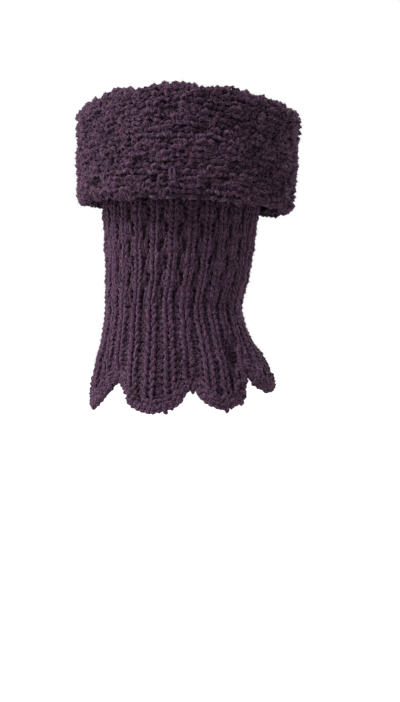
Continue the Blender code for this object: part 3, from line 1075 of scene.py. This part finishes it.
class CUFF_OT_ribbed_ankle(bpy.types.Operator):
    """Knit the ribbed ankle, whose courses dip into the scallops"""

    bl_idname = "cuff.ribbed_ankle"
    bl_label = "Ribbed Ankle"

    def execute(self, context):
        swatch = rib_swatch(0, FIRST_FANNED, ANKLE_KNIT_SHARE)
        knit_piece("ribbed_ankle_knit", swatch, leg_form(), RIB_YARN, seed=11,
                   wool_name="rib_yarn", nodes=["ribbed_ankle"])
        return {"FINISHED"}


class CUFF_OT_fanned_leg(bpy.types.Operator):
    """Knit the leg, with its fans between the ribs"""

    bl_idname = "cuff.fanned_leg"
    bl_label = "Fanned Leg"

    def execute(self, context):
        swatch = fanned_swatch(FIRST_FANNED, FIRST_INNER)
        knit_piece("fanned_leg_knit", swatch, leg_form(), FAN_YARN, seed=12,
                   wool_name="fan_yarn", nodes=["patterned_leg"])
        return {"FINISHED"}


class CUFF_OT_inner_leg(bpy.types.Operator):
    """Knit the plain ribbing that runs up inside the turnover to its fold"""

    bl_idname = "cuff.inner_leg"
    bl_label = "Inner Leg"

    def execute(self, context):
        swatch = rib_swatch(FIRST_INNER, LEG_COURSES, INNER_KNIT_SHARE)
        # Its shade is painted as seen from inside: loops that stand inwards are painted lighter.
        knit_piece("inner_leg_knit", swatch, leg_form(), INNER_YARN, seed=13,
                   wool_name="inner_rib_yarn", nodes=[], seen_from=-1.0)
        return {"FINISHED"}


class CUFF_OT_turnover(bpy.types.Operator):
    """Knit the turnover: its hanging wall, and the fold that joins it to the leg"""

    bl_idname = "cuff.turnover"
    bl_label = "Turnover"

    def execute(self, context):
        form = TurnoverForm(context.scene.cuff_sizes)
        courses = int((form.length - TURNOVER_TOP_SPARE) / TURNOVER_COURSE_RISE)
        stretches = (("turnover_wall", 0, WALL_COURSES, 20, 21),
                     ("turnover_fold", WALL_COURSES, courses, 37, 22))
        for node, first, last, swatch_seed, seed in stretches:
            swatch = basket_swatch(first, last, swatch_seed)
            knit_piece(f"{node}_knit", swatch, form, BASKET_YARN, seed=seed,
                       wool_name=f"{node}_yarn", nodes=[node])
        return {"FINISHED"}


class CUFF_OT_scallop_edging(bpy.types.Operator):
    """Work the knobbly edging along the scallops"""

    bl_idname = "cuff.scallop_edging"
    bl_label = "Scallop Edging"

    def execute(self, context):
        wool = context.scene.cuff_wool
        form = EdgeForm(leg_form())
        knit_piece("edging_garter_knit", edging_swatch(), form, GARTER_YARN, seed=32,
                   wool_name="edging_garter_yarn", nodes=["scallop_edging"])
        paths = picot_paths(form, np.random.default_rng(31))
        radii = np.full(paths.shape[:2], PICOT_YARN_RADIUS * wool.thickness)
        nap = np.ones(paths.shape[:2])
        picots = tube_mesh("edging_picot_coils", paths, radii, nap, PICOT_SIDES, PICOT_LUMPS)
        coiled = heather_wool("edging_picot_yarn", wool, PICOT_TWISTS, 1)
        finish_piece(picots, coiled, ["scallop_edging"])
        return {"FINISHED"}


class CUFF_OT_webs(bpy.types.Operator):
    """Close the gaps between the loops with a thin web behind them"""

    bl_idname = "cuff.webs"
    bl_label = "Webs behind the Loops"

    def execute(self, context):
        per_scallop = LEG_WEB_COLUMNS_PER_RIB * RIBS_PER_SCALLOP
        column, rise = np.meshgrid(
            np.arange(LEG_WEB_COLUMNS_PER_RIB * RIBS) / per_scallop,
            np.linspace(FIRST_COURSE - LEG_WEB_BELOW,
                        FIRST_COURSE + COURSE_RISE * LEG_WEB_COURSES, LEG_WEB_ROWS),
        )
        depth = LEG_WEB_DEPTH + LEG_WEB_RIDGE * np.cos(TAU * column * RIBS_PER_SCALLOP)
        piece = web_piece("leg_web", leg_form(), column, rise, depth, LEG_WEB_PAINTED_LIGHT)
        on_leg = ["ribbed_ankle_knit", "fanned_leg_knit", "inner_leg_knit"]
        on_leg += ["edging_garter_knit", "edging_picot_coils"]

        form = TurnoverForm(context.scene.cuff_sizes)
        turn, run = np.meshgrid(
            TAU * np.arange(TURNOVER_STITCHES) / TURNOVER_STITCHES,
            np.linspace(TURNOVER_WEB_START, form.length, TURNOVER_WEB_ROWS),
        )
        depth = np.full_like(turn, TURNOVER_WEB_DEPTH)
        piece = web_piece("turnover_web", form, turn, run, depth, TURNOVER_WEB_PAINTED_LIGHT)
        return {"FINISHED"}


def hair_roots(mesh):
    """Where loose hairs may stand on a piece, and which way the yarn faces there."""
    places, normals = np.empty((2, len(mesh.vertices), 3), np.float32)
    mesh.vertices.foreach_get("co", places.ravel())
    mesh.vertex_normals.foreach_get("vector", normals.ravel())
    away = unit(places[:, :2] - np.array(HAIRY_MIDDLE))
    shows = (normals[:, :2] * away).sum(axis=1) > HAIRY_OUTWARDS
    shows |= (normals[:, 2] > HAIRY_UPWARDS) & (places[:, 2] > HAIRY_FOLD_ABOVE)
    return places[shows], normals[shows]


class CUFF_OT_fuzz(bpy.types.Operator):
    """Raise the wool's loose hairs over everything that faces outwards"""

    bl_idname = "cuff.fuzz"
    bl_label = "Fuzz"

    def execute(self, context):
        wool = context.scene.cuff_wool
        rng = np.random.default_rng(51)
        found = [hair_roots(bpy.data.objects[name].data) for name in HAIRY_PIECES]
        roots, outwards = (np.concatenate(tables) for tables in zip(*found))
        chosen = rng.permutation(len(roots))[:wool.hairs]
        mesh = fuzz_mesh("wool_fuzz", roots[chosen], outwards[chosen], wool.longest_hair, rng)
        finish_piece(mesh, loose_hair("fuzz_hair", wool), [])
        return {"FINISHED"}


class CUFF_OT_stage(bpy.types.Operator):
    """Set the pale floor, the soft studio lights and the camera"""

    bl_idname = "cuff.stage"
    bl_label = "Stage"

    def execute(self, context):
        scene = context.scene
        bpy.ops.mesh.primitive_plane_add(size=FLOOR_SIZE, location=(0.0, 0.0, FLOOR_HEIGHT))
        floor = context.object
        floor.name = "studio_floor"
        floor.data.materials.append(white_paper("white_paper"))

        scene.world = white_studio("white_studio")
        low, high = CAD_BOX
        for lamp in LAMPS:
            add_lamp(lamp, (low + high) / 2.0)
        scene.view_settings.view_transform = "Standard"

        camera = bpy.data.cameras.new("camera")
        camera.lens = CAMERA_LENS
        camera.sensor_width = CAMERA_SENSOR
        holder = bpy.data.objects.new("camera", camera)
        holder.location = CAMERA_PLACE
        holder.rotation_euler = (math.pi / 2.0, 0.0, 0.0)
        scene.collection.objects.link(holder)
        scene.camera = holder
        return {"FINISHED"}


def add_lamp(lamp, target):
    data = bpy.data.lights.new(lamp.name, "AREA")
    data.size = lamp.size
    data.energy = lamp.power
    holder = bpy.data.objects.new(lamp.name, data)
    holder.location = lamp.place
    aim = target - Vector(lamp.place)
    holder.rotation_euler = aim.to_track_quat("-Z", "Y").to_euler()
    bpy.context.scene.collection.objects.link(holder)


OPERATORS = (
    CUFF_OT_stage,
    CUFF_OT_ribbed_ankle,
    CUFF_OT_fanned_leg,
    CUFF_OT_inner_leg,
    CUFF_OT_turnover,
    CUFF_OT_scallop_edging,
    CUFF_OT_webs,
    CUFF_OT_fuzz,
)


class CUFF_PT_panel(bpy.types.Panel):
    """Lists the cuff's pieces in the order that they are knitted."""

    bl_idname = "CUFF_PT_panel"
    bl_label = "Knitted Boot Cuff"
    bl_space_type = "VIEW_3D"
    bl_region_type = "UI"
    bl_category = "Boot Cuff"

    def draw(self, context):
        for group in (context.scene.cuff_sizes, context.scene.cuff_wool):
            column = self.layout.column()
            for key in group.__annotations__:
                column.prop(group, key)
        for operator in OPERATORS:
            self.layout.operator(operator.bl_idname)


CLASSES = (CuffSizes, CuffWool) + OPERATORS + (CUFF_PT_panel,)


def register():
    for item in CLASSES:
        bpy.utils.register_class(item)
    bpy.types.Scene.cuff_sizes = bpy.props.PointerProperty(type=CuffSizes)
    bpy.types.Scene.cuff_wool = bpy.props.PointerProperty(type=CuffWool)


def unregister():
    del bpy.types.Scene.cuff_wool
    del bpy.types.Scene.cuff_sizes
    for item in reversed(CLASSES):
        bpy.utils.unregister_class(item)


def main():
    register()
    bpy.ops.cuff.stage()
    bpy.ops.cuff.ribbed_ankle()
    bpy.ops.cuff.fanned_leg()
    bpy.ops.cuff.inner_leg()
    bpy.ops.cuff.turnover()
    bpy.ops.cuff.scallop_edging()
    bpy.ops.cuff.webs()
    bpy.ops.cuff.fuzz()


if __name__ == "__main__":
    main()
